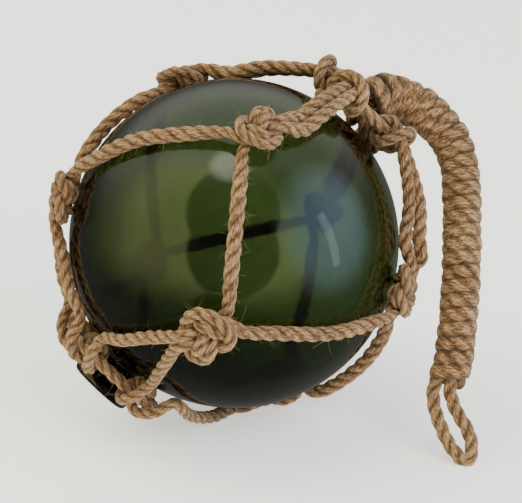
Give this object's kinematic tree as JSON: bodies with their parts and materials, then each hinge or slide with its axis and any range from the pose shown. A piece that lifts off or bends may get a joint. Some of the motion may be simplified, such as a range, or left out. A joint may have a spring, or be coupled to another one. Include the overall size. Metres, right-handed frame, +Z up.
{
  "type": "glass float ball",
  "caption": "Sealed glass ball with a pressed seal button, held in a knotted rope net with a whipped rope handle that ends in a hanging loop.",
  "frame": {"origin": "middle of the whole outline seen from above, on the table the float lies on", "axes": "+Z up, +X from the ball towards the handle, +Y away from the side the seal button and large knot face"},
  "size_m": [0.1574, 0.1344, 0.1312],
  "materials": {
    "bottle_glass": "gloss",
    "jute_rope": "matt laid rope"
  },
  "bodies": {
    "root": {"glass_ball": "bottle_glass", "net_rope_1": "jute_rope", "net_rope_2": "jute_rope", "net_rope_3": "jute_rope", "net_rope_4": "jute_rope", "crown_ring": "jute_rope", "base_ring": "jute_rope", "handle_rope": "jute_rope", "handle_whipping": "jute_rope"}
  },
  "joints": []
}
